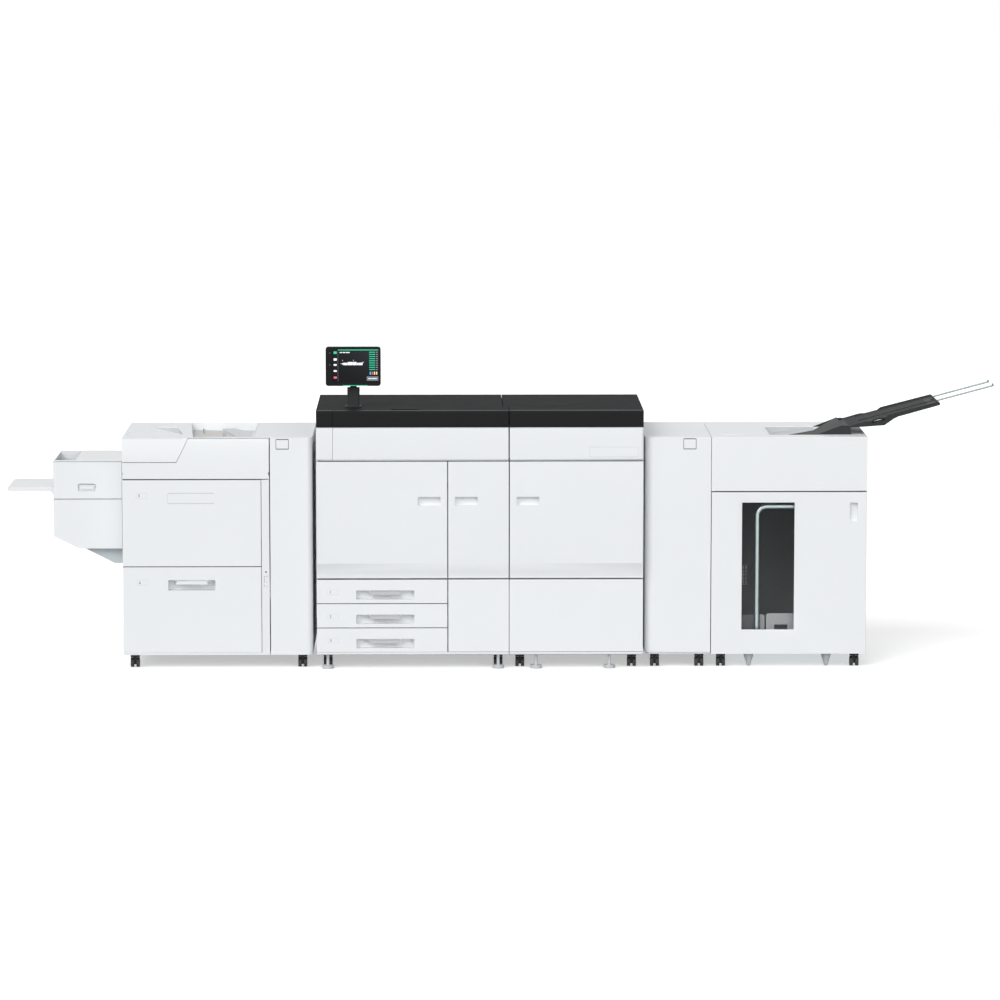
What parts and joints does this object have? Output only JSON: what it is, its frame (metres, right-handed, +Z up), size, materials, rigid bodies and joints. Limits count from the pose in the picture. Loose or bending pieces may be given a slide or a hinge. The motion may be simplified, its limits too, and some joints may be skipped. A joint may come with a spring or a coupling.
{
  "type": "digital production printer",
  "caption": "Floor-standing digital production printer in a row of white units with black engine top, touch panel on a mast, sheet drawers, stacker with window and a sloped exit tray.",
  "frame": {"origin": "on the floor, under the middle of the whole row's outer box", "axes": "+X to the right along the row as seen from the operator, +Y from the front to the rear, +Z up"},
  "size_m": [5.1155, 0.831, 1.659],
  "materials": {
    "white_panel": "cool white moulded skin, fine satin",
    "white_metal": "white powder coat",
    "grey_plastic": "light grey moulded plastic",
    "black_panel": "charcoal moulded skin, satin",
    "dark_plastic": "dark grey moulded plastic",
    "dark_metal": "dark grey coated sheet",
    "steel": "bright drawn steel",
    "rubber": "black rubber",
    "screen": "black gloss bezel with glass front",
    "window": "clear acrylic"
  },
  "bodies": {
    "root": {"bypass_housing": "white_panel", "bypass_top_cover": "white_panel", "bypass_bracket": "grey_plastic", "feeder_frame": "white_metal", "feeder_top_cover": "white_panel", "catch_plate": "steel", "feeder_corner_cover": "white_panel", "feeder_column": "white_panel", "engine_frame": "white_metal", "engine_top_left": "black_panel", "engine_top_right": "black_panel", "upper_left_strip": "white_panel", "upper_right_cover": "white_panel", "door_hinges": "steel", "lower_covers": "white_metal", "inner_covers": "grey_plastic", "toner_cartridges": "dark_plastic", "drum_units": "dark_plastic", "transfer_belt": "rubber", "fuser_housing": "dark_plastic", "panel_mast": "dark_plastic", "decurler_housing": "white_panel", "stacker_frame": "white_metal", "stacker_liner": "dark_metal", "stacker_top_cover": "white_panel", "stacker_cart": "steel", "exit_tray": "dark_plastic", "casters": "dark_plastic", "leveling_feet": "steel"},
    "left_door": {"left_door": "white_panel"},
    "middle_door": {"middle_door": "white_panel"},
    "right_door": {"right_door": "white_panel"},
    "toner_cover": {"toner_cover": "white_panel"},
    "feeder_front_cover": {"feeder_front_cover": "white_panel"},
    "upper_drawer": {"feeder_upper_drawer": "white_panel"},
    "upper_drawer_flap": {"upper_drawer_flap": "white_panel"},
    "upper_lift_plate": {"upper_lift_plate": "steel"},
    "lower_drawer": {"feeder_lower_drawer": "white_panel"},
    "lower_drawer_paddle": {"lower_drawer_paddle": "white_panel"},
    "lower_lift_plate": {"lower_lift_plate": "steel"},
    "bypass_door": {"bypass_door": "white_panel"},
    "bypass_latch": {"bypass_latch": "grey_plastic"},
    "bypass_tray": {"bypass_tray": "white_panel"},
    "bypass_roller": {"bypass_roller": "rubber"},
    "fuser_roller": {"fuser_roller": "rubber"},
    "pressure_roller": {"pressure_roller": "steel"},
    "panel_neck": {"panel_neck": "dark_plastic"},
    "touch_panel": {"touch_panel": "screen"},
    "stacker_door": {"stacker_door": "white_panel", "stacker_window": "window"},
    "lift_table": {"lift_table": "steel"},
    "exit_rods": {"exit_rods": "steel"},
    "front_wheels": {"front_wheels": "rubber"},
    "rear_wheels": {"rear_wheels": "rubber"},
    "paper_tray_1": {"paper_tray_1": "white_panel"},
    "tray_paddle_1": {"tray_paddle_1": "white_panel"},
    "paper_tray_2": {"paper_tray_2": "white_panel"},
    "tray_paddle_2": {"tray_paddle_2": "white_panel"},
    "paper_tray_3": {"paper_tray_3": "white_panel"},
    "tray_paddle_3": {"tray_paddle_3": "white_panel"}
  },
  "joints": [
    {"name": "left_door_hinge", "type": "hinge", "parent": "root", "child": "left_door", "pos_m": [-0.93705, -0.4095, 0.7], "axis": [0, 0, 1], "range_deg": [-100, 0]},
    {"name": "middle_door_hinge", "type": "hinge", "parent": "root", "child": "middle_door", "pos_m": [0.02896, -0.4095, 0.7], "axis": [0, 0, 1], "range_deg": [0, 100]},
    {"name": "right_door_hinge", "type": "hinge", "parent": "root", "child": "right_door", "pos_m": [0.72066, -0.4095, 0.7], "axis": [0, 0, 1], "range_deg": [0, 100]},
    {"name": "toner_cover_hinge", "type": "hinge", "parent": "root", "child": "toner_cover", "pos_m": [-0.41204, -0.4015, 1.0955], "axis": [1, 0, 0], "range_deg": [0, 65]},
    {"name": "feeder_front_cover_hinge", "type": "hinge", "parent": "root", "child": "feeder_front_cover", "pos_m": [-1.57004, -0.3595, 0.98975], "axis": [1, 0, 0], "range_deg": [0, 80]},
    {"name": "upper_drawer_slide", "type": "slide", "parent": "root", "child": "upper_drawer", "axis": [0, -1, 0], "range_m": [0, 0.5]},
    {"name": "lower_drawer_slide", "type": "slide", "parent": "root", "child": "lower_drawer", "axis": [0, -1, 0], "range_m": [0, 0.5]},
    {"name": "upper_flap_hinge", "type": "hinge", "parent": "upper_drawer", "child": "upper_drawer_flap", "pos_m": [-1.59362, -0.36, 0.9092], "axis": [1, 0, 0], "range_deg": [0, 50], "stiffness_Nm_per_rad": 0.15},
    {"name": "lower_paddle_hinge", "type": "hinge", "parent": "lower_drawer", "child": "lower_drawer_paddle", "pos_m": [-1.59362, -0.3575, 0.4574], "axis": [1, 0, 0], "range_deg": [-20, 0], "stiffness_Nm_per_rad": 0.1},
    {"name": "upper_lift", "type": "slide", "parent": "upper_drawer", "child": "upper_lift_plate", "axis": [0, 0, 1], "range_m": [0, 0.36]},
    {"name": "lower_lift", "type": "slide", "parent": "lower_drawer", "child": "lower_lift_plate", "axis": [0, 0, 1], "range_m": [0, 0.36]},
    {"name": "paper_tray_1_slide", "type": "slide", "parent": "root", "child": "paper_tray_1", "axis": [0, -1, 0], "range_m": [0, 0.45]},
    {"name": "tray_paddle_1_hinge", "type": "hinge", "parent": "paper_tray_1", "child": "tray_paddle_1", "pos_m": [-0.59667, -0.3915, 0.4065], "axis": [1, 0, 0], "range_deg": [-20, 0], "stiffness_Nm_per_rad": 0.1},
    {"name": "paper_tray_2_slide", "type": "slide", "parent": "root", "child": "paper_tray_2", "axis": [0, -1, 0], "range_m": [0, 0.45]},
    {"name": "tray_paddle_2_hinge", "type": "hinge", "parent": "paper_tray_2", "child": "tray_paddle_2", "pos_m": [-0.59667, -0.3915, 0.28], "axis": [1, 0, 0], "range_deg": [-20, 0], "stiffness_Nm_per_rad": 0.1},
    {"name": "paper_tray_3_slide", "type": "slide", "parent": "root", "child": "paper_tray_3", "axis": [0, -1, 0], "range_m": [0, 0.45]},
    {"name": "tray_paddle_3_hinge", "type": "hinge", "parent": "paper_tray_3", "child": "tray_paddle_3", "pos_m": [-0.59667, -0.3915, 0.1535], "axis": [1, 0, 0], "range_deg": [-20, 0], "stiffness_Nm_per_rad": 0.1},
    {"name": "bypass_door_hinge", "type": "hinge", "parent": "root", "child": "bypass_door", "pos_m": [-2.29854, -0.2495, 0.95], "axis": [0, 0, 1], "range_deg": [-100, 0]},
    {"name": "bypass_latch_hinge", "type": "hinge", "parent": "bypass_door", "child": "bypass_latch", "pos_m": [-2.13758, -0.2475, 0.93979], "axis": [1, 0, 0], "range_deg": [-12, 12], "stiffness_Nm_per_rad": 0.05},
    {"name": "bypass_tray_hinge", "type": "hinge", "parent": "root", "child": "bypass_tray", "pos_m": [-2.32305, -0.0205, 0.9155], "axis": [0, 1, 0], "range_deg": [0, 80]},
    {"name": "bypass_roller_spin", "type": "hinge", "parent": "root", "child": "bypass_roller", "pos_m": [-2.27054, -0.0205, 0.9155], "axis": [0, 1, 0], "continuous": true},
    {"name": "fuser_roller_spin", "type": "hinge", "parent": "root", "child": "fuser_roller", "pos_m": [0.31926, -0.1615, 0.80078], "axis": [0, 1, 0], "continuous": true},
    {"name": "pressure_roller_spin", "type": "hinge", "parent": "root", "child": "pressure_roller", "pos_m": [0.31926, -0.1615, 0.73647], "axis": [0, 1, 0], "continuous": true},
    {"name": "panel_swivel", "type": "hinge", "parent": "root", "child": "panel_neck", "pos_m": [-0.75955, -0.2075, 1.45], "axis": [0, 0, 1], "range_deg": [-60, 60]},
    {"name": "panel_tilt", "type": "hinge", "parent": "panel_neck", "child": "touch_panel", "pos_m": [-0.75955, -0.2075, 1.50675], "axis": [1, 0, 0], "range_deg": [-40, 10]},
    {"name": "stacker_door_hinge", "type": "hinge", "parent": "root", "child": "stacker_door", "pos_m": [1.09675, -0.3595, 0.5], "axis": [0, 0, 1], "range_deg": [-100, 0]},
    {"name": "lift_table_slide", "type": "slide", "parent": "root", "child": "lift_table", "axis": [0, 0, 1], "range_m": [0, 0.5]},
    {"name": "exit_rods_slide", "type": "slide", "parent": "root", "child": "exit_rods", "axis": [0.9659, 0, 0.2588], "range_m": [-0.2, 0]},
    {"name": "front_wheels_spin", "type": "hinge", "parent": "root", "child": "front_wheels", "pos_m": [0, -0.3055, 0.025], "axis": [1, 0, 0], "continuous": true},
    {"name": "rear_wheels_spin", "type": "hinge", "parent": "root", "child": "rear_wheels", "pos_m": [0, 0.2695, 0.025], "axis": [1, 0, 0], "continuous": true}
  ],
  "couplings": [
    {"joint": "pressure_roller_spin", "follows": "fuser_roller_spin", "ratio": -1}
  ]
}
